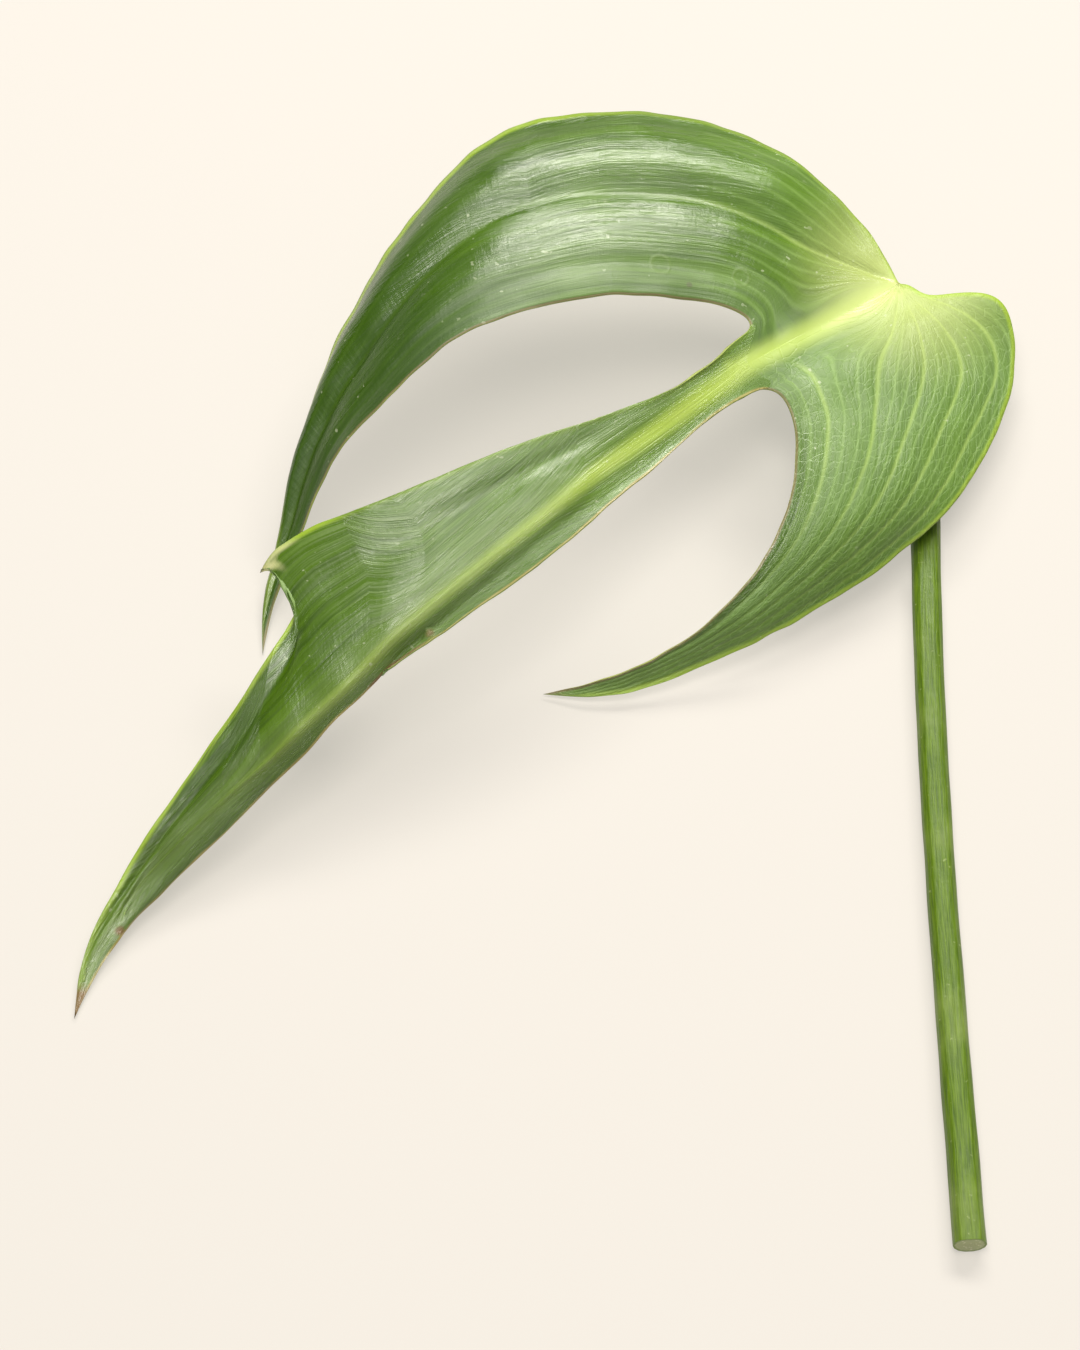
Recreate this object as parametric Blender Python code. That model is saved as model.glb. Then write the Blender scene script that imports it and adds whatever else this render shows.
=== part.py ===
"""A picked monstera leaf, lying face up: a blade of three long lobes on its leaf stem.

Metres, +Z up. The leaf rests on z = 0 with its stem along the surface and the tips of its lobes
touching it. The drawing below is in millimetres from the leaf's root, where the blade meets the
stem and the midrib begins; the whole leaf is then moved so that its box stands centred on the origin.
"""
import bmesh
import bpy
from mathutils import Vector

MM = 0.001

# Thicknesses and widths, mm
BLADE_THICK = 0.7
RIB_DEPTH = 5.5
RIB_HALF_WIDTH = 3.2
ROOT_RADIUS = 9.0
SMOOTHING = 1

# Where the veins of a side lobe spring from the midrib, as shares of the way from the neck to the root
VEIN_STARTS = (0, 0.55, 0.85, 1)
EVEN = (0, 1 / 3, 2 / 3, 1)

ROOT = (0, 0, 20)

# Each lobe is a row of stations, from the leaf's middle to the lobe's tip. A station of a side lobe
# is its edge at the gap, its outer edge, and how far the leaf stands proud between the two.
FAR_LOBE = [
    ((-34.5, -18, 31.5), (-15.5, 20, 28), 1.5),
    ((-39, -15, 34), (-27.5, 28, 32.5), 2.5),
    ((-50, -15, 38), (-46.5, 33.5, 37), 3.5),
    ((-66, -17, 42.5), (-66.5, 33.5, 39.5), 4),
    ((-80.5, -21, 44.5), (-86.5, 30.5, 39), 4),
    ((-94.5, -26, 44), (-101.5, 19.5, 37), 4),
    ((-106.5, -32.5, 40.5), (-112.5, 6.5, 33.5), 3.5),
    ((-117, -40, 34), (-122.5, -9, 28), 3),
    ((-126.5, -47.5, 25), (-130, -23.5, 22.5), 2),
    ((-133, -56, 16), (-136, -40, 15), 1.5),
    ((-138.5, -66.5, 7.5), (-140.5, -57.5, 7), 1),
    ((-142, -77, 2.5), (-143.5, -73, 2.5), 0.3),
]
FAR_TIP = (-143.5, -85.5, 0.8)
FAR_SHOULDER = [(-2, 4, 21), (-7, 12, 23.5)]

NEAR_LOBE = [
    ((-31, -33, 28.5), (18, -1, 17.5), 1),
    ((-27.5, -35, 28), (24.5, -3.5, 15), 2),
    ((-25, -41, 27), (26.5, -13.5, 12.5), 3),
    ((-24.5, -48.5, 26), (24.5, -26.5, 12), 4),
    ((-26, -58, 24.5), (18.5, -41, 12), 4.5),
    ((-29.5, -68, 22), (10, -54.5, 12), 4),
    ((-35.5, -76.5, 18.5), (-2.5, -66.5, 11), 3.5),
    ((-44.5, -84.5, 14), (-18, -77.5, 9.5), 3),
    ((-55, -90.5, 9.5), (-34.5, -86.5, 7.5), 2),
    ((-66, -94, 6), (-51.5, -93.5, 5), 1),
    ((-74.5, -95, 3), (-66.5, -97, 3), 0.3),
]
NEAR_TIP = (-81, -95.5, 1)
NEAR_SHOULDER = [(2.5, -0.5, 19.5), (8, -2.5, 19)]

# A station of the middle lobe is its far edge, the midrib, its near edge, and the rise of its far half.
MIDDLE_LOBE = [
    ((-34.5, -18, 31.5), (-32.5, -25.5, 29.5), (-31, -33, 28.5), 0),
    ((-39, -24.5, 33.5), (-39, -31.5, 31.5), (-36, -35.5, 30), 0.3),
    ((-47, -34, 36), (-48, -40.5, 34), (-45, -43.5, 32), 0.5),
    ((-59, -42.5, 39), (-59, -50.5, 36), (-56, -56, 34), 1),
    ((-73, -50, 42), (-71, -61.5, 38), (-68.5, -69, 35.5), 1.5),
    ((-87, -56, 43), (-83, -73, 38.5), (-81, -81, 36), 2),
    ((-101, -63, 42.5), (-95.5, -84, 37.5), (-93.5, -91, 35), 2.5),
    ((-114, -67, 40), (-107.5, -94, 35.5), (-105, -98.5, 32.5), 2.5),
    ((-125.5, -70, 36.5), (-118, -103.5, 32), (-115, -104.5, 29), 2.5),
    ((-135, -72.5, 32), (-123.5, -108.5, 29.5), (-120, -109, 26.5), 2.5),
    ((-143.5, -76.5, 27.5), (-128.5, -112.5, 27), (-125.5, -113.5, 24.5), 2.5),
    ((-137, -79.5, 28.5), (-132.5, -115.5, 25), (-129, -117, 22.5), 2),
    ((-134.5, -87, 28), (-136.5, -119, 23), (-133, -120.5, 20), 2),
    ((-139, -96.5, 26), (-142, -123.5, 20), (-138.5, -125, 17), 1.5),
    ((-146.5, -107.5, 22), (-149.5, -129, 16.5), (-146, -131.5, 13.5), 1),
    ((-155.5, -120, 16), (-158, -135.5, 11.5), (-155, -139.5, 9.5), 1),
    ((-165.5, -133, 11.5), (-166.5, -143.5, 8), (-163.5, -147, 6.5), 0.5),
    ((-174, -147, 7), (-173.5, -153, 5), (-171, -154.5, 4), 0.3),
    ((-180, -159.5, 3), (-179, -162.5, 2.7), (-177.5, -164.5, 2), 0),
]
MIDDLE_TIP = (-182, -174.5, 0.8)
TOOTH = 10

# The leaf stem: points of its centre line and its radius there, from the cut end to the root
STEM = [
    ((9, -228), 3.6),
    ((7.5, -190), 3.4),
    ((6, -150), 3.3),
    ((5, -110), 3.3),
    ((5, -75), 3.3),
    ((5.5, -45), 3.4),
    ((6, -28), 3.7),
]
STEM_BEND = [
    ((5.5, -17, 4.4), 4.0),
    ((4, -8, 5), 4.1),
    ((0, -3, 7), 4.1),
    ((-1, -2.5, 10), 4.0),
    ((-1, -2.5, 13.7), 3.9),
]

LEAF_GREEN = (0.09, 0.19, 0.035, 1)
STEM_GREEN = (0.15, 0.24, 0.05, 1)


def through(line):
    """Cage points of a smoothed edge that passes through every point of the line."""
    cage = [point.copy() for point in line]
    for _ in range(12):
        for i in range(1, len(line) - 1):
            cage[i] += line[i] - (cage[i - 1] + 4 * cage[i] + cage[i + 1]) / 6
    return cage


def points(table, column):
    return [Vector(station[column]) for station in table]


def across(start, end, crown, shares):
    """Points in a straight row from start to end, lifted in its middle by the crown."""
    row = []
    for share in shares:
        lift = Vector((0, 0, 4 * crown * share * (1 - share)))
        row.append(start.lerp(end, share) + lift)
    return row


def easing_shares(step, steps):
    """Shares that go from the bunched starts of the veins to an even spread."""
    ease = step / steps
    return [start + (even - start) * ease for start, even in zip(VEIN_STARTS, EVEN)]


def halves_of_middle(midrib, edge, rises):
    """One side of the middle lobe, in rows: the midrib, the foot of its ridge, half way, the edge."""
    feet, middles = [], []
    for i, (rib, end, rise) in enumerate(zip(midrib, edge, rises)):
        width = RIB_HALF_WIDTH * (1 - i / len(midrib))
        side = end - rib
        feet.append(rib + side.normalized() * min(width, 0.4 * side.length))
        middles.append(feet[-1].lerp(end, 0.5) + Vector((0, 0, rise)))
    for _ in range(3):
        ahead, behind = middles[2:], middles[:-2]
        middles[1:-1] = [(a + 2 * m + b) / 4 for a, m, b in zip(ahead, middles[1:-1], behind)]
    return list(zip(midrib, feet, middles, edge))


def lay_strip(bm, rows):
    """A grid of quads whose points are given row by row."""
    steps = len(rows[0]) - 1
    grid = bmesh.ops.create_grid(bm, x_segments=steps, y_segments=len(rows) - 1, size=0.5)
    places = [point for row in rows for point in row]
    for vert, place in zip(grid["verts"], places):
        vert.co = place * MM


def side_lobe(bm, midrib_root, neck_half, shoulder, inner, outer, crowns, tip):
    """A side lobe: it springs from the midrib between the root and the neck of the leaf."""
    rows = [midrib_root]
    for step, (neck_point, edge_point) in enumerate(zip(neck_half[1:3], shoulder), start=1):
        rows.append(across(neck_point, edge_point, 0.5, easing_shares(step, 4)))
    for step, (inner_point, outer_point, crown) in enumerate(zip(inner, outer, crowns), start=3):
        rows.append(across(inner_point, outer_point, crown, easing_shares(min(step, 4), 4)))
    rows.append([tip.copy() for _ in range(4)])
    lay_strip(bm, rows)


def blade_cage():
    """The blade as a sheet of large quads, with the midrib's points and those of the sharp tips."""
    root = Vector(ROOT)
    far_tip, near_tip, middle_tip = Vector(FAR_TIP), Vector(NEAR_TIP), Vector(MIDDLE_TIP)
    far_inner, near_inner = points(FAR_LOBE, 0), points(NEAR_LOBE, 0)
    far_edge, near_edge = points(MIDDLE_LOBE, 0), points(MIDDLE_LOBE, 2)

    # The leaf's outline, as four smooth edges from point to point
    far_outer = [Vector(p) for p in FAR_SHOULDER] + points(FAR_LOBE, 1)
    near_outer = [Vector(p) for p in NEAR_SHOULDER] + points(NEAR_LOBE, 1)
    outside = through([far_tip] + far_outer[::-1] + [root] + near_outer + [near_tip])
    far_gap = through([far_tip] + far_inner[::-1] + far_edge[1:TOOTH + 1])
    below_tooth = through(far_edge[TOOTH:] + [middle_tip])
    near_gap = through([near_tip] + near_inner[::-1] + near_edge[1:] + [middle_tip])
    midrib = through([root] + points(MIDDLE_LOBE, 1) + [middle_tip])

    root = outside[len(far_outer) + 1]
    far_outer = outside[len(far_outer):0:-1]
    near_outer = outside[-len(near_outer) - 1:-1]
    far_inner = far_gap[len(far_inner):0:-1]
    far_edge = far_gap[len(far_inner):] + below_tooth[1:-1]
    near_inner = near_gap[len(near_inner):0:-1]
    near_edge = near_gap[len(near_inner):-1]
    midrib[0] = root

    bm = bmesh.new()
    rises = [station[3] for station in MIDDLE_LOBE]
    far_halves = halves_of_middle(midrib[1:-1], far_edge, rises)
    near_halves = halves_of_middle(midrib[1:-1], near_edge, [0] * len(rises))
    rows = [far[:0:-1] + near for far, near in zip(far_halves, near_halves)]
    rows.append([middle_tip.copy() for _ in range(7)])
    lay_strip(bm, rows)

    midrib_root = across(midrib[1], root, 0, VEIN_STARTS)
    side_lobe(bm, midrib_root, far_halves[0], far_outer[:2], far_inner, far_outer[2:],
              [station[2] for station in FAR_LOBE], far_tip)
    side_lobe(bm, midrib_root, near_halves[0], near_outer[:2], near_inner, near_outer[2:],
              [station[2] for station in NEAR_LOBE], near_tip)
    bmesh.ops.remove_doubles(bm, verts=bm.verts, dist=0.01 * MM)
    bmesh.ops.recalc_face_normals(bm, faces=bm.faces)
    if sum(face.normal.z for face in bm.faces) < 0:
        bmesh.ops.reverse_faces(bm, faces=bm.faces)
    return bm, midrib_root[::-1] + midrib[2:], [far_tip, near_tip, middle_tip, far_edge[TOOTH]]


def nearest(bm, place):
    return min(bm.verts, key=lambda vert: (vert.co - place * MM).length)


def make_material(name, colour, roughness):
    material = bpy.data.materials.new(name)
    material.use_nodes = True
    shader = material.node_tree.nodes["Principled BSDF"]
    shader.inputs["Base Color"].default_value = colour
    shader.inputs["Roughness"].default_value = roughness
    shader.inputs["Metallic"].default_value = 0
    return material


def add_object(name, data, parent=None):
    thing = bpy.data.objects.new(name, data)
    thing.parent = parent
    bpy.context.scene.collection.objects.link(thing)
    return thing


def make_blade(leaf):
    """The blade: a thin smoothed sheet, thick along the midrib and at the root, on its underside."""
    bm, midrib, tips = blade_cage()
    crease = bm.verts.layers.float.new("crease_vert")
    for tip in tips:
        nearest(bm, tip)[crease] = 1
    weights = bm.verts.layers.deform.verify()
    for i, place in enumerate(midrib):
        nearest(bm, place)[weights][0] = 1 - i / (len(midrib) - 1)
    root = midrib[0] * MM
    for vert in bm.verts:
        if (vert.co - root).length < ROOT_RADIUS * MM:
            vert[weights][0] = 1
    mesh = bpy.data.meshes.new("blade")
    bm.to_mesh(mesh)
    bm.free()
    mesh.shade_smooth()
    mesh.materials.append(make_material("leaf", LEAF_GREEN, 0.35))
    blade = add_object("blade", mesh, leaf)
    blade.vertex_groups.new(name="rib")
    smooth = blade.modifiers.new("smooth", "SUBSURF")
    smooth.levels = SMOOTHING
    smooth.render_levels = SMOOTHING
    thick = blade.modifiers.new("thick", "SOLIDIFY")
    thick.offset = -1
    thick.thickness = RIB_DEPTH * MM
    thick.vertex_group = "rib"
    thick.thickness_vertex_group = BLADE_THICK / RIB_DEPTH
    return blade


def make_stem(leaf):
    """The leaf stem: a tapered round stalk lying down, which swells and bends up to meet the root."""
    curve = bpy.data.curves.new("petiole", "CURVE")
    curve.dimensions = "3D"
    curve.bevel_depth = MM
    curve.bevel_resolution = 4
    curve.use_fill_caps = True
    lying = [((x, y, radius), radius) for (x, y), radius in STEM]
    route = lying + STEM_BEND
    spline = curve.splines.new("NURBS")
    spline.points.add(len(route) - 1)
    for point, (place, radius) in zip(spline.points, route):
        point.co = (*(Vector(place) * MM), 1)
        point.radius = radius
    spline.order_u = 4
    spline.resolution_u = 4
    spline.use_endpoint_u = True
    curve.materials.append(make_material("stem", STEM_GREEN, 0.4))
    return add_object("petiole", curve, leaf)


def stand_on_origin(leaf, pieces):
    """Moves the leaf so that its box stands centred on the origin."""
    graph = bpy.context.evaluated_depsgraph_get()
    meshes = [piece.evaluated_get(graph).to_mesh() for piece in pieces]
    corners = [vert.co for mesh in meshes for vert in mesh.vertices]
    low = Vector([min(corner[axis] for corner in corners) for axis in range(3)])
    high = Vector([max(corner[axis] for corner in corners) for axis in range(3)])
    leaf.location = (-(low.x + high.x) / 2, -(low.y + high.y) / 2, -low.z)


for old in list(bpy.data.objects):
    bpy.data.objects.remove(old)

leaf = add_object("leaf", None)
leaf_blade = make_blade(leaf)
leaf_stem = make_stem(leaf)
stand_on_origin(leaf, [leaf_blade, leaf_stem])
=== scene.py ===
import math

import bpy
import numpy as np
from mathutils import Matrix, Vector, kdtree, noise


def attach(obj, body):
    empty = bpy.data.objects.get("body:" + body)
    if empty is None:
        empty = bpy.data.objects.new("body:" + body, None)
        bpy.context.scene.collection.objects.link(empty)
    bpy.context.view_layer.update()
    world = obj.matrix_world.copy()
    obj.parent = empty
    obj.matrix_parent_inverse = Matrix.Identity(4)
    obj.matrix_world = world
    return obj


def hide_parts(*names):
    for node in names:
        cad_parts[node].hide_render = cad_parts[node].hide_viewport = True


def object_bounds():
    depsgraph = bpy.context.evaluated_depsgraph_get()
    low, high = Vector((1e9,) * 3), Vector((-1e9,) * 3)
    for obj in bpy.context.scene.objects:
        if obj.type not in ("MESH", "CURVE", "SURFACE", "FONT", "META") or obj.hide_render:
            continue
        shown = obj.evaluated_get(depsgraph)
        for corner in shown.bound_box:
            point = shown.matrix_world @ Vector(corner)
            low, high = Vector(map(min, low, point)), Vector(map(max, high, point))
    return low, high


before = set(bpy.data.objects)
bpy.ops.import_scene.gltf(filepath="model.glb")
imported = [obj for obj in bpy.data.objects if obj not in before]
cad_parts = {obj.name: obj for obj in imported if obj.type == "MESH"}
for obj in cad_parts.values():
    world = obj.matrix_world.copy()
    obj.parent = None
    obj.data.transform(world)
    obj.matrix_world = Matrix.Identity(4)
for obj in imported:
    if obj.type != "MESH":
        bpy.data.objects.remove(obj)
cad_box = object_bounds()


# ---------------------------------------------------------------------------
# The studio: a cream sweep lit a little from below so that shadows stay light, a big soft light behind,
# a smaller one overhead, and the camera, which looks down on the leaf from its stem side.

leaf_low, leaf_high = cad_box
leaf_middle = (leaf_low + leaf_high) / 2

bpy.ops.mesh.primitive_circle_add(vertices=96, radius=6, fill_type="NGON", location=(0, 0, -0.0001))
floor = bpy.context.active_object
floor.name = "floor"

paper = bpy.data.materials.new("cream_paper")
paper.use_nodes = True
paper_shader = paper.node_tree.nodes["Principled BSDF"]
paper_shader.inputs["Base Color"].default_value = (0.272, 0.257, 0.242, 1)
paper_shader.inputs["Emission Color"].default_value = (0.510, 0.482, 0.438, 1)
paper_shader.inputs["Emission Strength"].default_value = 1.0
paper_shader.inputs["Roughness"].default_value = 0.9
paper_shader.inputs["Specular IOR Level"].default_value = 0.1
floor.data.materials.append(paper)

LAMPS = [
    # name, place, size across, size deep, power, colour
    ("key_softbox", (0.24, 0.97, 1.13), 1.25, 0.34, 26.5, (1.0, 0.968, 0.895)),
    ("top_softbox", (-0.08, -0.12, 1.52), 0.70, 0.42, 14.0, (1.0, 0.968, 0.895)),
]
for name, place, width, depth, power, colour in LAMPS:
    lamp = bpy.data.lights.new(name, "AREA")
    lamp.shape = "RECTANGLE"
    lamp.size = width
    lamp.size_y = depth
    lamp.energy = power
    lamp.color = colour
    lamp_object = bpy.data.objects.new(name, lamp)
    bpy.context.scene.collection.objects.link(lamp_object)
    lamp_object.location = place
    lamp_object.rotation_euler = (leaf_middle - Vector(place)).to_track_quat("-Z", "Y").to_euler()

world = bpy.data.worlds.new("studio")
bpy.context.scene.world = world
world.use_nodes = True
world_light = world.node_tree.nodes["Background"]
world_light.inputs["Strength"].default_value = 0.68
# The room is dim low down and on the left, and bright overhead
world_nodes, world_links = world.node_tree.nodes, world.node_tree.links
direction = world_nodes.new("ShaderNodeTexCoord")
height_in_room = world_nodes.new("ShaderNodeSeparateXYZ")
overhead = world_nodes.new("ShaderNodeMath")
overhead.operation = "POWER"
overhead.inputs[1].default_value = 1.7
overhead.use_clamp = True
from_right = world_nodes.new("ShaderNodeMath")
from_right.operation = "MULTIPLY_ADD"
from_right.inputs[1].default_value = 0.9
from_right.inputs[2].default_value = 0.9
from_right.use_clamp = True
brightness = world_nodes.new("ShaderNodeMath")
brightness.operation = "MULTIPLY"
room = world_nodes.new("ShaderNodeMix")
room.data_type = "RGBA"
room.inputs[6].default_value = (0.07, 0.067, 0.062, 1)
room.inputs[7].default_value = (1.0, 0.965, 0.90, 1)
world_links.new(direction.outputs["Generated"], height_in_room.inputs[0])
world_links.new(height_in_room.outputs[2], overhead.inputs[0])
world_links.new(height_in_room.outputs[0], from_right.inputs[0])
world_links.new(overhead.outputs[0], brightness.inputs[0])
world_links.new(from_right.outputs[0], brightness.inputs[1])
world_links.new(brightness.outputs[0], room.inputs[0])
world_links.new(room.outputs[2], world_light.inputs["Color"])
bpy.context.scene.view_settings.view_transform = "Standard"

CAMERA_ELEVATION = math.radians(62)
CAMERA_DISTANCE = 1.2
camera_aim = Vector((leaf_middle.x - 0.0038, leaf_middle.y - 0.001, 0.015))
toward_camera = Vector((0, -math.cos(CAMERA_ELEVATION), math.sin(CAMERA_ELEVATION)))
camera_data = bpy.data.cameras.new("camera")
camera_data.lens = 145.5
camera = bpy.data.objects.new("camera", camera_data)
bpy.context.scene.collection.objects.link(camera)
camera.location = camera_aim + toward_camera * CAMERA_DISTANCE
camera.rotation_euler = (-toward_camera).to_track_quat("-Z", "Y").to_euler()
bpy.context.scene.camera = camera


# ---------------------------------------------------------------------------
# The blade: one thin leathery sheet with a broad far lobe, a long middle lobe with a hooked tooth, and
# a short near lobe, grown from the root where the midrib begins. Drawn in mm from the root, on the
# lines of its edges and midrib, smoothed, then given its veins and its thickness.

MM = 0.001
FAR_LOBE = [
    # edge at the gap, outer edge, rise between the two
    ((-34.5, -18, 31.5), (-15.5, 20, 28), 1.5),
    ((-39, -15, 34), (-27.5, 28, 32.5), 2.5),
    ((-50, -15, 38), (-46.5, 33.5, 37), 3.5),
    ((-66, -17, 42.5), (-66.5, 33.5, 39.5), 4),
    ((-80.5, -21, 44.5), (-86.5, 30.5, 39), 4),
    ((-94.5, -26, 44), (-101.5, 19.5, 37), 4),
    ((-106.5, -32.5, 40.5), (-112.5, 6.5, 33.5), 3.5),
    ((-117, -40, 34), (-122.5, -9, 28), 3),
    ((-126.5, -47.5, 25), (-130, -23.5, 22.5), 2),
    ((-133, -56, 16), (-136, -40, 15), 1.5),
    ((-138.5, -66.5, 7.5), (-140.5, -57.5, 7), 1),
    ((-142, -77, 2.5), (-143.5, -73, 2.5), 0.3),
]
FAR_TIP = (-143.5, -85.5, 0.8)
FAR_SHOULDER = [(-2, 4, 21), (-7, 12, 23.5)]
NEAR_LOBE = [
    ((-31, -33, 28.5), (18, -1, 17.5), 1),
    ((-27.5, -35, 28), (24.5, -3.5, 15), 2),
    ((-25, -41, 27), (26.5, -13.5, 12.5), 3),
    ((-24.5, -48.5, 26), (24.5, -26.5, 12), 4),
    ((-26, -58, 24.5), (18.5, -41, 12), 4.5),
    ((-29.5, -68, 22), (10, -54.5, 12), 4),
    ((-35.5, -76.5, 18.5), (-2.5, -66.5, 11), 3.5),
    ((-44.5, -84.5, 14), (-18, -77.5, 9.5), 3),
    ((-55, -90.5, 9.5), (-34.5, -86.5, 7.5), 2),
    ((-66, -94, 6), (-51.5, -93.5, 5), 1),
    ((-74.5, -95, 3), (-66.5, -97, 3), 0.3),
]
NEAR_TIP = (-81, -95.5, 1)
NEAR_SHOULDER = [(2.5, -0.5, 19.5), (8, -2.5, 19)]
MIDDLE_LOBE = [
    # far edge, midrib, near edge, rise of the far half
    ((-34.5, -18, 31.5), (-32.5, -25.5, 29.5), (-31, -33, 28.5), 0),
    ((-39, -24.5, 33.5), (-39, -31.5, 31.5), (-36, -35.5, 30), 0.3),
    ((-47, -34, 36), (-48, -40.5, 34), (-45, -43.5, 32), 0.5),
    ((-59, -42.5, 39), (-59, -50.5, 36), (-56, -56, 34), 1),
    ((-73, -50, 42), (-71, -61.5, 38), (-68.5, -69, 35.5), 1.5),
    ((-87, -56, 43), (-83, -73, 38.5), (-81, -81, 36), 2),
    ((-114, -67, 40), (-107.5, -94, 35.5), (-105, -98.5, 32.5), 2.5),
    ((-125.5, -70, 36.5), (-118, -103.5, 32), (-115, -104.5, 29), 2.5),
    ((-135, -72.5, 32), (-123.5, -108.5, 29.5), (-120, -109, 26.5), 2.5),
    ((-143.5, -76.5, 27.5), (-128.5, -112.5, 27), (-125.5, -113.5, 24.5), 2.5),
    ((-137, -79.5, 28.5), (-132.5, -115.5, 25), (-129, -117, 22.5), 2),
    ((-134.5, -87, 28), (-136.5, -119, 23), (-133, -120.5, 20), 2),
    ((-139, -96.5, 26), (-142, -123.5, 20), (-138.5, -125, 17), 1.5),
    ((-146.5, -107.5, 22), (-149.5, -129, 16.5), (-146, -131.5, 13.5), 1),
    ((-165.5, -133, 11.5), (-166.5, -143.5, 8), (-163.5, -147, 6.5), 0.5),
    ((-174, -147, 7), (-173.5, -153, 5), (-171, -154.5, 4), 0.3),
    ((-180, -159.5, 3), (-179, -162.5, 2.7), (-177.5, -164.5, 2), 0),
]
MIDDLE_TIP = (-182, -174.5, 0.8)
ROOT = (0, 0, 20)
TOOTH = 9
VEIN_STARTS = (0, 0.55, 0.85, 1)
EVEN = (0, 1 / 3, 2 / 3, 1)
RIDGE_FOOT = 3.2
FINE_LEVELS = 4


def through(line):
    """Cage points of a smoothed edge that passes through every point of the line."""
    cage = [point.copy() for point in line]
    for _ in range(12):
        for i in range(1, len(line) - 1):
            cage[i] += line[i] - (cage[i - 1] + 4 * cage[i] + cage[i + 1]) / 6
    return cage


def column(stations, which):
    return [Vector(station[which]) for station in stations]


def across(start, end, rise, shares):
    """Points in a row from start to end, lifted in the middle."""
    row = []
    for share in shares:
        row.append(start.lerp(end, share) + Vector((0, 0, 4 * rise * share * (1 - share))))
    return row


def easing_shares(step):
    """From the bunched starts of the veins to an even spread, over the first four rows."""
    ease = min(step, 4) / 4
    return [start + (even - start) * ease for start, even in zip(VEIN_STARTS, EVEN)]


def halves_of_middle(midrib, edge, rises):
    """One side of the middle lobe, in rows: the midrib, the foot of its ridge, half way, the edge."""
    feet, middles = [], []
    for i, (rib, end, rise) in enumerate(zip(midrib, edge, rises)):
        side = end - rib
        width = RIDGE_FOOT * (1 - i / len(midrib))
        feet.append(rib + side.normalized() * min(width, 0.4 * side.length))
        middles.append(feet[-1].lerp(end, 0.5) + Vector((0, 0, rise)))
    for _ in range(3):
        ahead, behind = middles[2:], middles[:-2]
        middles[1:-1] = [(a + 2 * m + b) / 4 for a, m, b in zip(ahead, middles[1:-1], behind)]
    return list(zip(midrib, feet, middles, edge))


def lengths_along(rows):
    """How far each row is from the first, in mm, measured along the rows' middles."""
    total, result = 0, []
    for i, row in enumerate(rows):
        middle = sum(row, Vector()) / len(row)
        total += (middle - before).length if i else 0
        before = middle
        result.append(total)
    return result


def add_strip(name, rows, u_values):
    """A grid laid along one lobe. Its UV map holds the place across the lobe and the mm along it."""
    steps = len(rows[0]) - 1
    bpy.ops.mesh.primitive_grid_add(x_subdivisions=steps, y_subdivisions=len(rows) - 1, size=1)
    strip = bpy.context.active_object
    strip.name = name
    places = np.array([point for row in rows for point in row]) * MM
    strip.data.vertices.foreach_set("co", places.ravel())
    along = lengths_along(rows)
    width_of_row = [sum((b - a).length for a, b in zip(row, row[1:])) for row in rows]
    widths = strip.data.attributes.new("width", "FLOAT", "POINT")
    widths.data.foreach_set("value", np.repeat(width_of_row, steps + 1))
    corner = np.zeros(len(strip.data.loops), int)
    strip.data.loops.foreach_get("vertex_index", corner)
    uv = np.stack([u_values[corner % (steps + 1)], np.array(along)[corner // (steps + 1)] / 100], 1)
    strip.data.uv_layers.active.data.foreach_set("uv", uv.ravel())
    return strip


root = Vector(ROOT)
far_tip, near_tip, middle_tip = Vector(FAR_TIP), Vector(NEAR_TIP), Vector(MIDDLE_TIP)
far_inner, near_inner = column(FAR_LOBE, 0), column(NEAR_LOBE, 0)
far_edge, near_edge = column(MIDDLE_LOBE, 0), column(MIDDLE_LOBE, 2)
far_outer = [Vector(p) for p in FAR_SHOULDER] + column(FAR_LOBE, 1)
near_outer = [Vector(p) for p in NEAR_SHOULDER] + column(NEAR_LOBE, 1)

# The outline, as four smooth edges from sharp point to sharp point
outside = through([far_tip] + far_outer[::-1] + [root] + near_outer + [near_tip])
far_gap = through([far_tip] + far_inner[::-1] + far_edge[1:TOOTH + 1])
below_tooth = through(far_edge[TOOTH:] + [middle_tip])
near_gap = through([near_tip] + near_inner[::-1] + near_edge[1:] + [middle_tip])
midrib = through([root] + column(MIDDLE_LOBE, 1) + [middle_tip])
root_cage = outside[len(far_outer) + 1]
far_outer, near_outer = outside[len(far_outer):0:-1], outside[-len(near_outer) - 1:-1]
far_edge = far_gap[len(far_inner):] + below_tooth[1:-1]
near_edge = near_gap[len(near_inner):-1]
far_inner, near_inner = far_gap[len(far_inner):0:-1], near_gap[len(near_inner):0:-1]
midrib[0] = root_cage

# The three lobes as grids of big quads
far_halves = halves_of_middle(midrib[1:-1], far_edge, [station[3] for station in MIDDLE_LOBE])
near_halves = halves_of_middle(midrib[1:-1], near_edge, [0] * len(MIDDLE_LOBE))
middle_rows = [list(far[:0:-1] + near) for far, near in zip(far_halves, near_halves)]
middle_rows.append([middle_tip.copy() for _ in range(7)])
midrib_root = across(midrib[1], root_cage, 0, VEIN_STARTS)


def side_rows(neck_half, shoulder, inner, outer, stations, tip):
    """A side lobe's rows: it springs from the midrib between the neck of the leaf and the root."""
    rows = [midrib_root]
    for step, (neck_point, edge_point) in enumerate(zip(neck_half[1:3], shoulder), start=1):
        rows.append(across(neck_point, edge_point, 0.5, easing_shares(step)))
    for step, (start, end, station) in enumerate(zip(inner, outer, stations), start=3):
        rows.append(across(start, end, station[2], easing_shares(step)))
    rows.append([tip.copy() for _ in range(4)])
    return rows


far_rows = side_rows(far_halves[0], far_outer[:2], far_inner, far_outer[2:], FAR_LOBE, far_tip)
near_rows = side_rows(near_halves[0], near_outer[:2], near_inner, near_outer[2:], NEAR_LOBE, near_tip)

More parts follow.
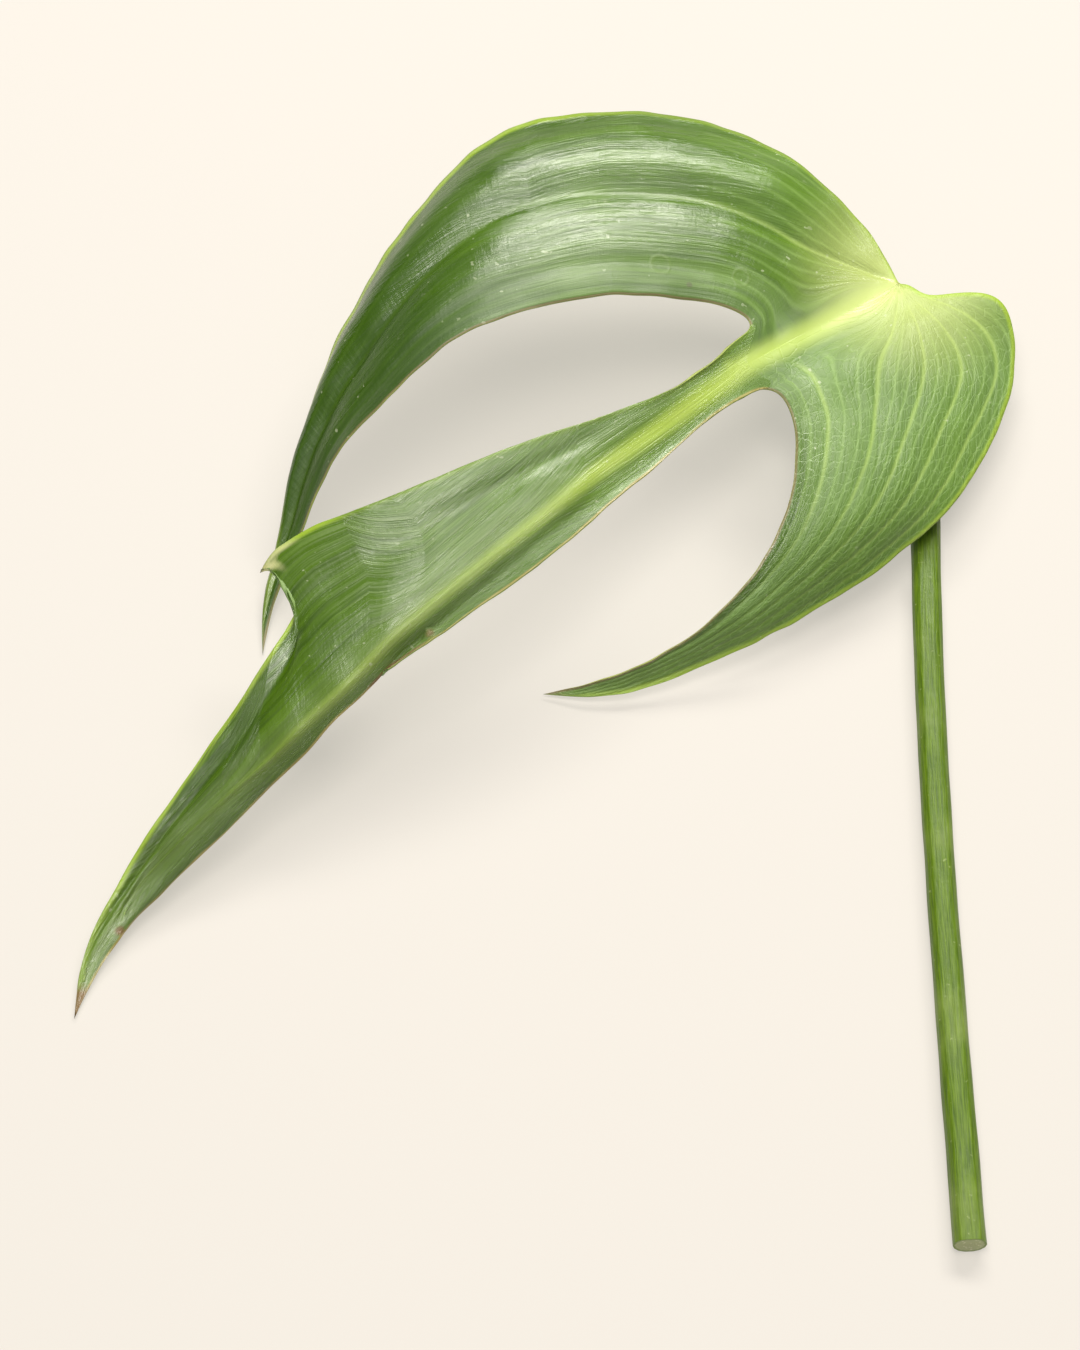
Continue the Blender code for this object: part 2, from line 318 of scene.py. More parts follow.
bpy.ops.object.select_all(action="DESELECT")
strips = [
    add_strip("middle_lobe", middle_rows, np.array([1, 0.55, 0.15, 0, -0.15, -0.55, -1])),
    add_strip("far_lobe", far_rows, np.linspace(2, 3, 4)),
    add_strip("near_lobe", near_rows, np.linspace(4, 5, 4)),
]
bpy.ops.object.select_all(action="DESELECT")
for strip in strips:
    strip.select_set(True)
blade = strips[0]
bpy.context.view_layer.objects.active = blade
bpy.ops.object.join()
blade.name = "leaf_blade"
bpy.ops.object.mode_set(mode="EDIT")
bpy.ops.mesh.select_all(action="SELECT")
bpy.ops.mesh.remove_doubles(threshold=0.01 * MM)
bpy.ops.mesh.normals_make_consistent(inside=False)
bpy.ops.object.mode_set(mode="OBJECT")
if sum(face.normal.z for face in blade.data.polygons) < 0:
    blade.data.flip_normals()

# The sharp points stay sharp when the sheet is smoothed
crease = blade.data.attributes.new("crease_vert", "FLOAT", "POINT")
for tip in (far_tip, near_tip, middle_tip, far_edge[TOOTH]):
    nearest = min(blade.data.vertices, key=lambda vert: (vert.co - tip * MM).length)
    crease.data[nearest.index].value = 1
smoother = blade.modifiers.new("smooth", "SUBSURF")
smoother.levels = smoother.render_levels = FINE_LEVELS
bpy.ops.object.modifier_apply(modifier="smooth")

# Every point's place on the leaf: which lobe, how far across and along, how near the midrib and the edge
sheet = blade.data
count = len(sheet.vertices)
spots = np.zeros(count * 3)
sheet.vertices.foreach_get("co", spots)
spots = spots.reshape(-1, 3) / MM
corner = np.zeros(len(sheet.loops), int)
sheet.loops.foreach_get("vertex_index", corner)
uv = np.zeros(len(sheet.loops) * 2)
sheet.uv_layers.active.data.foreach_get("uv", uv)
uv = uv.reshape(-1, 2)
place = np.zeros((count, 2))
place[corner] = uv
width = np.zeros(count)
sheet.attributes["width"].data.foreach_get("value", width)
# u runs from 1 to -1 over the middle lobe, with 0 at its midrib, from 2 to 3 over the far lobe, and from
# 4 to 5 over the near one. Along is in mm.
u, along = place[:, 0], place[:, 1] * 100


def distance_to(chosen):
    """Each point's distance, in mm, from the nearest of the chosen points."""
    tree = kdtree.KDTree(len(chosen))
    for i, spot in enumerate(chosen):
        tree.insert(spot, i)
    tree.balance()
    return np.array([tree.find(spot)[2] for spot in spots])


edge_count = np.zeros(len(sheet.edges), int)
edge_of_loop = np.zeros(len(sheet.loops), int)
sheet.loops.foreach_get("edge_index", edge_of_loop)
np.add.at(edge_count, edge_of_loop, 1)
edge_ends = np.zeros(len(sheet.edges) * 2, int)
sheet.edges.foreach_get("vertices", edge_ends)
on_margin = np.unique(edge_ends.reshape(-1, 2)[edge_count == 1])
to_edge = distance_to(spots[on_margin])

is_middle, is_far = u < 1.5, (u > 1.5) & (u < 3.5)
line = [midrib[0].lerp(midrib[1], i / 40) for i in range(40)]
rib_spots = np.concatenate([np.array(line), spots[is_middle & (abs(u) < 0.002)]])
to_rib = distance_to(rib_spots)
from_root = np.linalg.norm(spots - np.array(ROOT), axis=1)

# Where the main veins of the side lobes lie, as shares of the way across
FAR_VEINS = (0.53,)
NEAR_VEINS = (0.15, 0.36, 0.53, 0.70, 0.87)


def smoothstep(low, high, value):
    """Eases from 0 at low to 1 at high; low may be the greater."""
    share = np.clip((value - low) / (high - low), 0, 1)
    return share * share * (3 - 2 * share)


def vein_distance(veins):
    """Each point's distance, in mm, from the nearest of a side lobe's veins."""
    return np.min([abs(lobe_share - vein) * width for vein in veins], axis=0)


def noise_field(size, seed):
    """Smooth random numbers, about -1 to 1, over the sheet; size is that of the bumps in mm."""
    shift = Vector((seed * 13.1, seed * 7.7, seed * 3.3))
    return np.array([noise.noise(Vector(spot) / size + shift) for spot in spots])


# Near the root the veins of the side lobes fan out of it, so there the place across is taken from the
# direction seen from the root, in degrees: that of the midrib, and how wide each fan opens beside it
MIDRIB_BEARING = 218
FAR_FAN = 100
NEAR_FAN = 134
bearing = np.degrees(np.arctan2(spots[:, 1] - ROOT[1], spots[:, 0] - ROOT[0])) % 360
fan_far = np.clip((MIDRIB_BEARING - bearing) / FAR_FAN, 0, 1)
fan_near = np.clip((bearing - MIDRIB_BEARING) / NEAR_FAN, 0, 1)
settled = smoothstep(6, 42, from_root)
far_corner, near_corner = (uv[:, 0] > 1.5) & (uv[:, 0] < 3.5), uv[:, 0] > 3.5
far_share = fan_far[corner] + ((uv[:, 0] - 2) - fan_far[corner]) * settled[corner]
near_share = fan_near[corner] + ((uv[:, 0] - 4) - fan_near[corner]) * settled[corner]
uv[:, 0] = np.where(far_corner, 2 + far_share, np.where(near_corner, 4 + near_share, uv[:, 0]))
sheet.uv_layers.active.data.foreach_set("uv", uv.ravel())
far_across, near_across = fan_far + (u - 2 - fan_far) * settled, fan_near + (u - 4 - fan_near) * settled
lobe_share = np.where(is_far, far_across, near_across)

# Veins sink into the face, the leaf bulges between them, and its edge waves a little. The far lobe is
# also folded near its gap, and the middle lobe along its far half.
NO_VEIN = 99
FAR_FOLD = 0.16
MIDDLE_FOLD = 0.62
off_rib = smoothstep(1, 6, to_rib)
side_vein = np.where(is_far, vein_distance(FAR_VEINS), vein_distance(NEAR_VEINS))
side_vein = np.where(is_middle, NO_VEIN, side_vein)
branch = (along - 3.4 * to_rib - 0.02 * to_rib ** 2) / 13
branch_vein = abs(branch - np.round(branch)) * 3.4
middle_vein = np.where(is_middle, branch_vein, NO_VEIN)
fade_to_tip = smoothstep(0, 18, width)
lift = np.zeros(count)
lift -= np.where(is_far, 1.2, 0.25) * np.exp(-side_vein / 4.0) * off_rib * fade_to_tip
beyond_vein = np.where(is_far, smoothstep(0.53, 0.73, lobe_share) * smoothstep(1.0, 0.78, lobe_share), 0)
lift += 1.7 * beyond_vein * smoothstep(15, 40, from_root) * fade_to_tip
lift -= 0.12 * np.exp(-(side_vein / 0.8) ** 2) * off_rib
fold = np.where(is_far, (lobe_share - FAR_FOLD) * width, NO_VEIN)
lift -= 0.7 * np.exp(-abs(fold) / 1.6) * smoothstep(25, 45, from_root) * fade_to_tip
lift -= 0.05 * np.exp(-(middle_vein / 0.6) ** 2) * off_rib * fade_to_tip
far_half = np.where(is_middle & (u > 0), u, 0)
lift -= 1.3 * np.exp(-((far_half - MIDDLE_FOLD) / 0.14) ** 2) * smoothstep(35, 70, along) * fade_to_tip
rib_half = 2.6 * (1 - 0.75 * smoothstep(20, 150, from_root))
lift += 0.15 * np.exp(-(to_rib / rib_half) ** 2) * smoothstep(0, 6, to_edge)
lift += 0.8 * noise_field(24, 1) + 0.25 * noise_field(9, 2) + 0.05 * noise_field(3.5, 3)
lift += 0.3 * noise_field(8, 4) * np.exp(-to_edge / 3)
lift += 0.12 * np.exp(-(to_edge / 0.8) ** 2)
lift *= smoothstep(0, 5, spots[:, 2] - 0.2)
ruffle = np.where(is_middle, 0.2, 0.4) * np.exp(-to_edge / 4) * smoothstep(0, 12, width)
spots[:, 0] += ruffle * noise_field(7, 5)
spots[:, 1] += ruffle * noise_field(7, 6)

# Worn places: the hooked end of the tooth, and two nicks in the edge
TOOTH_END = np.array((-143.5, -76.5, 27.5))
TOOTH_HOOK = np.array((0.3, -1.6, -2.4))
near_tooth = np.clip(1 - np.linalg.norm(spots - TOOTH_END, axis=1) / 6, 0, 1) ** 2
NICKS = [
    # place, depth, reach
    ((-105.4, -96.9, 32.0), 1.5, 1.1),
    ((-172.6, -155.4, 4.6), 0.5, 0.8),
]
inward = np.zeros((count, 3))
for nick, depth, reach in NICKS:
    closest_rib = rib_spots[np.argmin(np.linalg.norm(rib_spots - nick, axis=1))]
    into_leaf = (closest_rib - nick) / np.linalg.norm(closest_rib - nick)
    inward += depth * np.exp(-(np.linalg.norm(spots - nick, axis=1) / reach) ** 2)[:, None] * into_leaf
normals = np.zeros(count * 3)
sheet.vertices.foreach_get("normal", normals)
spots += normals.reshape(-1, 3) * lift[:, None] + inward
spots += near_tooth[:, None] * TOOTH_HOOK

# From the root, where the leaf was drawn, to the middle of the whole
TO_CENTRE = np.array((77.76, 97.09, 0))
sheet.vertices.foreach_set("co", ((spots + TO_CENTRE) * MM).ravel())
sheet.update()
for name, values in (("to_edge", to_edge), ("to_rib", to_rib), ("from_root", from_root)):
    sheet.attributes.new(name, "FLOAT", "POINT").data.foreach_set("value", values)

# The thickness of the blade: thin at its tips, and everywhere but at the root and along the veins,
# which stand out below
DEEPEST_RIB = 5.2
BLADE_THICK = 0.4
rib_depth = DEEPEST_RIB * np.exp(-from_root / 110) * np.exp(-(to_rib / (rib_half + 0.4)) ** 4)
root_depth = DEEPEST_RIB * np.exp(-(from_root / 8) ** 4)
thickness = BLADE_THICK + np.maximum(rib_depth, root_depth) * smoothstep(-1, 2, to_edge)
thickness += 0.45 * np.exp(-(side_vein / 0.9) ** 2) * fade_to_tip
thickness += 0.12 * np.exp(-(middle_vein / 0.6) ** 2)
thickness = np.minimum(thickness, 0.35 + np.maximum(spots[:, 2] - 0.6, 0) * 0.5)
to_tip = distance_to([FAR_TIP, NEAR_TIP, MIDDLE_TIP])
thickness = np.minimum(thickness, 0.24 + 2.0 * smoothstep(10, 34, to_tip) + 9 * smoothstep(34, 60, to_tip))
deepest = thickness.max()
depth_group = blade.vertex_groups.new(name="depth")
for i, value in enumerate(thickness):
    depth_group.add([i], float(value / deepest), "REPLACE")
thicken = blade.modifiers.new("thicken", "SOLIDIFY")
thicken.thickness = deepest * MM
thicken.offset = -1
thicken.vertex_group = "depth"
thicken.material_offset = 1
thicken.material_offset_rim = 2


class Wire:
    """A shader value that can be reckoned with like a number, and led into other nodes."""

    def __init__(self, tree, socket=None):
        self.tree = tree
        self.socket = socket

    def node(self, kind, settings, values, output=0):
        """Any node: its settings by name, and values or wires for its inputs by name or number."""
        made = self.tree.nodes.new(kind)
        for name, setting in settings.items():
            setattr(made, name, setting)
        for key, value in values.items():
            if isinstance(value, Wire):
                self.tree.links.new(value.socket, made.inputs[key])
            else:
                made.inputs[key].default_value = value
        return Wire(self.tree, made.outputs[output])

    def maths(self, operation, *values):
        return self.node("ShaderNodeMath", {"operation": operation}, dict(enumerate(values)))

    def __add__(self, other):
        return self.maths("ADD", self, other)

    def __sub__(self, other):
        return self.maths("SUBTRACT", self, other)

    def __mul__(self, other):
        return self.maths("MULTIPLY", self, other)

    def __truediv__(self, other):
        return self.maths("DIVIDE", self, other)

    def __radd__(self, other):
        return self.maths("ADD", other, self)

    def __rsub__(self, other):
        return self.maths("SUBTRACT", other, self)

    def __rmul__(self, other):
        return self.maths("MULTIPLY", other, self)

    def __abs__(self):
        return self.maths("ABSOLUTE", self)

    def least(self, other):
        return self.maths("MINIMUM", self, other)

    def most(self, other):
        return self.maths("MAXIMUM", self, other)

    def step(self, low, high):
        """Eases from 0 at low to 1 at high; low may be the greater."""
        if low > high:
            return 1 - self.step(high, low)
        values = {"Value": self, "From Min": low, "From Max": high}
        return self.node("ShaderNodeMapRange", {"interpolation_type": "SMOOTHSTEP"}, values)

    def colour(self, colour_at_0, colour_at_1):
        """The blend of two colours, with this value as the share of the second."""
        values = {0: self, 6: colour_at_0, 7: colour_at_1}
        return self.node("ShaderNodeMix", {"data_type": "RGBA"}, values, 2)

    def attribute(self, name):
        return self.node("ShaderNodeAttribute", {"attribute_name": name}, {}, 2)

    def noise(self, place, scale, detail=3, roughness=0.5):
        values = {"Vector": place, "Scale": scale, "Detail": detail, "Roughness": roughness}
        return self.node("ShaderNodeTexNoise", {}, values, 0)

    def join(self, x, y, z):
        return self.node("ShaderNodeCombineXYZ", {}, {0: x, 1: y, 2: z})

    def bump(self, height, distance, strength=1.0):
        values = {"Height": height, "Distance": distance, "Strength": strength}
        return self.node("ShaderNodeBump", {}, values)


def new_material(name):
    """A new material, a wire in its node tree, and its shader."""
    material = bpy.data.materials.new(name)
    material.use_nodes = True
    return material, Wire(material.node_tree), material.node_tree.nodes["Principled BSDF"]


# The face: glossy dark green with painted shade on the outer part of the far lobe, veins and midrib
# yellower, a bright line round the outer edge that is partly a painted highlight
face, wire, face_shader = new_material("leaf_face")
uv_map = wire.node("ShaderNodeUVMap", {"uv_map": "UVMap"}, {})
u_wire = wire.node("ShaderNodeSeparateXYZ", {}, {0: uv_map}, 0)
mm_along = wire.node("ShaderNodeSeparateXYZ", {}, {0: uv_map}, 1) * 100
row_width = wire.attribute("width")
edge_mm = wire.attribute("to_edge")
rib_mm = wire.attribute("to_rib")
root_mm = wire.attribute("from_root")
spot = wire.node("ShaderNodeTexCoord", {}, {}, 3)
on_far = u_wire.step(1.49, 1.51) * u_wire.step(3.51, 3.49)
on_near = u_wire.step(3.49, 3.51)
on_middle = 1 - on_far - on_near
share = u_wire - 2 * on_far - 4 * on_near
across_mm = share * row_width
wander = 0.03 * (wire.noise(spot, 70, 1, 0.5) - 0.5)


def vein_lines(veins, base):
    """How far, in mm, a point of the face is from the nearest of the veins, which wander a little."""
    nearest = None
    for vein in veins:
        distance = abs(u_wire + wander - (base + vein)) * row_width
        nearest = distance if nearest is None else nearest.least(distance)
    return nearest


far_line = vein_lines(FAR_VEINS, 2)
near_line = vein_lines(NEAR_VEINS, 4)
far_minor = vein_lines((0.08, 0.16, 0.24, 0.31, 0.38, 0.45, 0.60, 0.69, 0.77, 0.84, 0.92), 2)
near_minor = vein_lines((0.07, 0.22, 0.29, 0.42, 0.47, 0.59, 0.64, 0.76, 0.81, 0.94), 4)

# Streaks along the lobes, finer ones across them, blotches, and the net between the small veins
streak_place = wire.join(across_mm, mm_along * 0.03, u_wire)
streaks = wire.noise(streak_place, 0.55, 4, 0.6)
fine_streaks = wire.noise(streak_place, 1.7, 4, 0.6)
cross_place = wire.join(across_mm * 0.25, mm_along * 1.3, u_wire * 5)
cross_streaks = wire.noise(cross_place, 0.9, 2, 0.5)
patches = wire.noise(wire.join(across_mm * 0.10, mm_along * 0.022, u_wire), 1.6, 3, 0.55)
mottle = wire.noise(spot, 38, 4, 0.55)
blotch = wire.noise(spot, 16, 2, 0.5)
grain = wire.noise(spot, 900, 3, 0.6)
net_place = wire.join(across_mm + 0.6 * streaks, mm_along * 0.6, u_wire * 10)
net_values = {"Vector": net_place, "Scale": 0.58}
net = wire.node("ShaderNodeTexVoronoi", {"feature": "DISTANCE_TO_EDGE"}, net_values)
net_lines = net.step(0.10, 0.0)

# How strongly each kind of line shows at each place
clear_of_rib = rib_mm.step(2.5, 9)
well_on_near = on_near * share.step(0.0, 0.22)
near_root = root_mm.step(75, 15)
major = far_line.step(1.1, 0) * on_far * (0.08 + 0.92 * near_root)
fading = 1 - 0.7 * root_mm.step(40, 88)
major = major.most(near_line.step(1.0, 0) * on_near * fading) * clear_of_rib
minor = far_minor.step(0.7, 0) * on_far * (0.15 + 0.85 * near_root)
minor = minor.most(near_minor.step(0.6, 0) * on_near * fading) * clear_of_rib
rib_width_wire = (2.8 - 1.1 * root_mm.step(25, 110)) * (1 - 0.4 * root_mm.step(115, 200))
rib_mask = (rib_mm / rib_width_wire).step(1.7, 0.1)
calm = on_middle + (1 - on_middle) * rib_mm.step(2, 12)
bloom = root_mm.step(32, 2)

deep = (0.022, 0.060, 0.0, 1)
far_lobe_painted_shade = (0.022, 0.066, 0.0, 1)
fresh = (0.080, 0.172, 0.0, 1)
pale = (0.132, 0.258, 0.030, 1)
net_green = (0.26, 0.42, 0.12, 1)
small_vein_green = (0.29, 0.46, 0.12, 1)
vein_green = (0.38, 0.54, 0.12, 1)
dust_and_sheen_colour = (0.37, 0.46, 0.25, 1)
beside_rib = (0.28, 0.41, 0.09, 1)
root_cream = (0.58, 0.66, 0.22, 1)
edge_lime_and_highlight = (0.34, 0.50, 0.04, 1)
light = mottle.step(0.3, 0.75) * 0.4 + streaks.step(0.3, 0.7) * 0.6
green = light.colour(deep, fresh)
paleness = well_on_near * 0.50 + on_middle * root_mm.step(175, 110) * 0.22
pale_root = root_mm.step(95, 10) * (1 - well_on_near) * (1 - 0.5 * on_far * share.step(0.75, 0.35))
paleness = paleness + 0.45 * pale_root + blotch.step(0.45, 0.7) * 0.10
# The outer part of the far lobe, from 70 to 120 mm out from the root onward, is painted darker: painted
# shade where it faces away from the light
green = (on_far * root_mm.step(70, 120) * 0.75).colour(green, far_lobe_painted_shade)
green = paleness.least(0.85).colour(green, pale)
green = (net_lines * on_near * 0.22).colour(green, net_green)
green = (minor * 0.28).colour(green, small_vein_green)
green = (major * 0.44).colour(green, vein_green)

# Pale streaks on the far half of the middle lobe, partly a dusty bloom and partly a painted highlight
# standing in for glare, then the midrib and the pale place at the root
dust_and_sheen_streaks = on_middle * across_mm.step(3, 8) * root_mm.step(168, 140) * root_mm.step(50, 75)
dust_and_sheen_streaks = dust_and_sheen_streaks * (0.1 + 0.9 * fine_streaks.step(0.44, 0.60))
green = (dust_and_sheen_streaks * 0.26).colour(green, dust_and_sheen_colour)
green = ((rib_mm / 7).step(1.2, 0.1) * on_middle * 0.2).colour(green, beside_rib)
rib_colour = mottle.step(0.3, 0.7).colour((0.40, 0.54, 0.07, 1), (0.48, 0.60, 0.13, 1))
rib_strength = 0.77 - 0.43 * root_mm.step(55, 150) - 0.3 * root_mm.step(150, 215)
green = (rib_mask * rib_strength).colour(green, rib_colour)
green = (bloom * 0.65).colour(green, root_cream)

# A yellow-green line along the outer edges, partly the leaf's own margin and partly a painted highlight on
# the rolled edge, and a thin dried one along the gaps
outer_side = (on_far + on_near) * share.step(0.45, 0.55) + on_middle * share.step(-0.05, 0.05)
line_wide = 1 + 0.8 * on_far * root_mm.step(70, 115)
line_clear = 1 - 0.75 * on_middle * root_mm.step(152, 140)
line_clear = line_clear * (1 - 0.5 * on_far * root_mm.step(100, 60)) * (0.3 + 0.7 * row_width.step(2, 14))
edge_line_and_highlight = (edge_mm / line_wide).step(1.5, 0.4) * outer_side * line_clear
green = (edge_line_and_highlight * 0.8).colour(green, edge_lime_and_highlight)
inner_line = edge_mm.step(0.7, 0.2) * (1 - outer_side)
tan_edge = on_middle.colour((0.26, 0.19, 0.09, 1), (0.44, 0.33, 0.10, 1))
green = (inner_line * 0.7).colour(green, tan_edge)


def away_from(place):
    """How far a point of the face is from a place given in mm from the root."""
    place = tuple((np.array(place) + TO_CENTRE) * MM)
    return wire.node("ShaderNodeVectorMath", {"operation": "DISTANCE"}, {0: spot, 1: place}, 1) * 1000


# Dried brown tip, yellow tooth, browned nicks, two healed blisters and a scatter of pale specks
rough_edge = 1.6 * wire.noise(spot, 350, 2, 0.5)
tooth_mm = away_from(TOOTH_END + TOOTH_HOOK)
below_tooth_mm = away_from((-136, -80.5, 28.5))
worn_pale = below_tooth_mm.step(9, 5) * edge_mm.step(1.9, 0.6)
green = (worn_pale * 0.85).colour(green, (0.66, 0.64, 0.34, 1))
green = (tooth_mm.step(3.6, 1.2) * 0.9).colour(green, (0.52, 0.50, 0.13, 1))
worn = (away_from(MIDDLE_TIP) + rough_edge).step(9.5, 6.5)
worn = worn.most((away_from(NICKS[1][0]) + rough_edge).step(2.3, 1.2))
worn = worn.most((away_from(NICKS[0][0]) + rough_edge).step(2.2, 1.2))
worn = worn.most(away_from((-113.5, -103, 30)).step(9, 6) * edge_mm.step(0.9, 0.3))
green = (worn * 0.9).colour(green, (0.17, 0.085, 0.018, 1))
green = (away_from((-48.1, -11.3, 37.8)).step(1.0, 0.4) * 0.6).colour(green, (0.06, 0.06, 0.02, 1))
specks = wire.noise(spot, 620, 1, 0.5).step(0.735, 0.76) * mottle.step(0.4, 0.6)
green = (specks * 0.42).colour(green, (0.55, 0.60, 0.42, 1))
blister = abs(away_from((-54.6, -7.4, 40.0)) - 2.2)
blister = blister.least(abs(away_from((-36.3, -7.1, 34.2)) - 1.9)).step(0.7, 0.0)
green = (blister * 0.12).colour(green, (0.26, 0.34, 0.12, 1))
wire.tree.links.new(green.socket, face_shader.inputs["Base Color"])

# The gloss: even on most of the face, dull on the near lobe, round the neck and beside the far gap
at_neck = away_from((-31, -33, 28.5)).step(16, 4)
inner_strip = on_far * share.step(0.30, 0.16) * (1 - worn)
dull = well_on_near.most(at_neck)
sheen = 0.19 + 0.10 * patches.step(0.60, 0.40) + 0.10 * fine_streaks + 0.1 * major
sheen = sheen + 0.22 * inner_strip + 0.24 * dull
wire.tree.links.new(sheen.socket, face_shader.inputs["Roughness"])
face_shader.inputs["Specular IOR Level"].default_value = 0.78
wire.tree.links.new((0.2 - 0.2 * dull).socket, face_shader.inputs["Coat Weight"])
face_shader.inputs["Coat Roughness"].default_value = 0.3
# The relief that is too fine for the mesh
height = (0.42 * fine_streaks + 0.5 * streaks + 0.14 * cross_streaks) * calm - 0.15 * major - 0.08 * minor
height = height + 0.13 * blister - 0.2 * worn - 0.08 * net_lines * on_near
height = height + 0.03 * grain + 0.2 * wire.noise(spot, 160, 2, 0.5)
face_normal = wire.bump(height, 0.0004)
wire.tree.links.new(face_normal.socket, face_shader.inputs["Normal"])

# The underside: paler and duller
under, wire, under_shader = new_material("leaf_underside")
spot = wire.node("ShaderNodeTexCoord", {}, {}, 3)
under_rib = wire.attribute("to_rib").step(4.2, 2.2)
under_mottle = wire.noise(spot, 40, 4, 0.55)
under_green = under_mottle.step(0.3, 0.7).colour((0.13, 0.22, 0.05, 1), (0.19, 0.30, 0.08, 1))
under_green = (under_rib * 0.8).colour(under_green, (0.32, 0.42, 0.13, 1))
wire.tree.links.new(under_green.socket, under_shader.inputs["Base Color"])
under_shader.inputs["Roughness"].default_value = 0.55
under_height = wire.noise(spot, 300, 4, 0.6)
wire.tree.links.new(wire.bump(under_height, 0.0002).socket, under_shader.inputs["Normal"])

# The very edge
rim, wire, rim_shader = new_material("leaf_rim")
spot = wire.node("ShaderNodeTexCoord", {}, {}, 3)
rim_mix = wire.noise(spot, 60, 2, 0.5).step(0.35, 0.65)
rim_colour = rim_mix.colour((0.34, 0.40, 0.09, 1), (0.24, 0.30, 0.07, 1))
wire.tree.links.new(rim_colour.socket, rim_shader.inputs["Base Color"])
rim_shader.inputs["Roughness"].default_value = 0.5

sheet.materials.clear()
for material in (face, under, rim):
    sheet.materials.append(material)
bpy.ops.object.select_all(action="DESELECT")
blade.select_set(True)
bpy.context.view_layer.objects.active = blade
bpy.ops.object.modifier_apply(modifier="thicken")
bpy.ops.object.shade_smooth()
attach(blade, "root")
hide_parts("blade")


# ---------------------------------------------------------------------------
# The leaf stem: a fleshy round stalk, cut at its far end, with a shallow groove along its top. Where it
# nears the blade it swells, wrinkles finely and bends up into the root.

STEM = [
    # x, y, height of the middle, radius
    (9, -228, 3.6, 3.6),
    (7.5, -190, 3.4, 3.4),
    (6, -150, 3.3, 3.3),
    (5, -110, 3.3, 3.3),
    (5, -75, 3.3, 3.3),
    (5.5, -45, 3.4, 3.4),
    (6, -28, 3.7, 3.7),
    (5.5, -17, 4.4, 4.0),
    (4, -8, 5, 4.1),
    (0, -3, 7, 4.1),
    (-1, -2.5, 10, 4.0),
    (-1, -2.5, 14.5, 3.9),
    (-1, -2.5, 17.5, 3.4),
]
STEM_ROWS = 420
STEM_SIDES = 56
CAP_ROWS = 8


def smooth_route(cage, rows):
    """Evenly spread points of a smooth line led by the cage, from its first point to its last."""
    cage = np.array([cage[0]] * 2 + list(cage) + [cage[-1]] * 2, float)
    fine = []
    for a, b, c, d in zip(cage, cage[1:], cage[2:], cage[3:]):
        for s in np.linspace(0, 1, 40, endpoint=False):
            weights = ((1 - s) ** 3, 3 * s ** 3 - 6 * s * s + 4, 1 + 3 * s + 3 * s * s - 3 * s ** 3, s ** 3)
            fine.append(sum(weight * point for weight, point in zip(weights, (a, b, c, d))) / 6)
    fine = np.array(fine + [cage[-1]])
    lengths = np.concatenate([[0], np.cumsum(np.linalg.norm(np.diff(fine[:, :3], axis=0), axis=1))])
    evenly = np.linspace(0, lengths[-1], rows)
    return np.stack([np.interp(evenly, lengths, fine[:, k]) for k in range(4)], 1), evenly


route, stem_mm = smooth_route(STEM, STEM_ROWS)
bpy.ops.object.select_all(action="DESELECT")
stem_steps = STEM_ROWS + 2 * CAP_ROWS - 1
bpy.ops.mesh.primitive_grid_add(x_subdivisions=STEM_SIDES, y_subdivisions=stem_steps, size=1)
stem = bpy.context.active_object
stem.name = "leaf_stem"
tangents = np.gradient(route[:, :3], axis=0)
tangents /= np.linalg.norm(tangents, axis=1)[:, None]
around = np.linspace(0, 2 * math.pi, STEM_SIDES + 1)
rings, ring_mm, ring_cap = [], [], []
order = [0] * CAP_ROWS + list(range(STEM_ROWS)) + [STEM_ROWS - 1] * CAP_ROWS
cap_shares = list(np.arange(CAP_ROWS) / CAP_ROWS)
end_shares = list(1 - np.arange(1, CAP_ROWS + 1) / CAP_ROWS)
for i, cap_share in zip(order, cap_shares + [1] * STEM_ROWS + end_shares):
    middle, radius, tangent = route[i, :3], route[i, 3], tangents[i]
    side = np.array((1, 0, 0)) - tangent * tangent[0]
    side /= np.linalg.norm(side)
    up = np.cross(side, tangent)
    swell = smoothstep(215, 240, stem_mm[i])
    wrinkle = 0.10 * swell * math.sin(stem_mm[i] * 2.9 + 0.8 * math.sin(stem_mm[i] * 0.7))
    groove = 0.45 * np.exp(-((around - math.pi / 2) / 0.45) ** 2) * (1 - 0.6 * swell)
    ribs = 0.045 * np.cos(around * 14 + 0.01 * stem_mm[i]) * (1 - swell)
    lump = [noise.noise(Vector((math.cos(a) * 1.1, math.sin(a) * 1.1, stem_mm[i] / 14))) for a in around]
    radii = (radius - groove + ribs + 0.16 * np.array(lump) + wrinkle) * cap_share
    ring = middle + radii[:, None] * (np.cos(around)[:, None] * side + np.sin(around)[:, None] * up)
    ring[:, 2] = np.maximum(ring[:, 2], 0.02)
    rings.append(ring)
    ring_mm.append(stem_mm[i])
    ring_cap.append(cap_share)
stem_spots = np.concatenate(rings)
stem.data.vertices.foreach_set("co", ((stem_spots + TO_CENTRE) * MM).ravel())
stem_corner = np.zeros(len(stem.data.loops), int)
stem.data.loops.foreach_get("vertex_index", stem_corner)
ring_mm = np.array(ring_mm)
round_stem = (stem_corner % (STEM_SIDES + 1)) / STEM_SIDES
down_stem = ring_mm[stem_corner // (STEM_SIDES + 1)] / 100
stem_uv = np.stack([round_stem, down_stem], 1)
stem.data.uv_layers.active.data.foreach_set("uv", stem_uv.ravel())
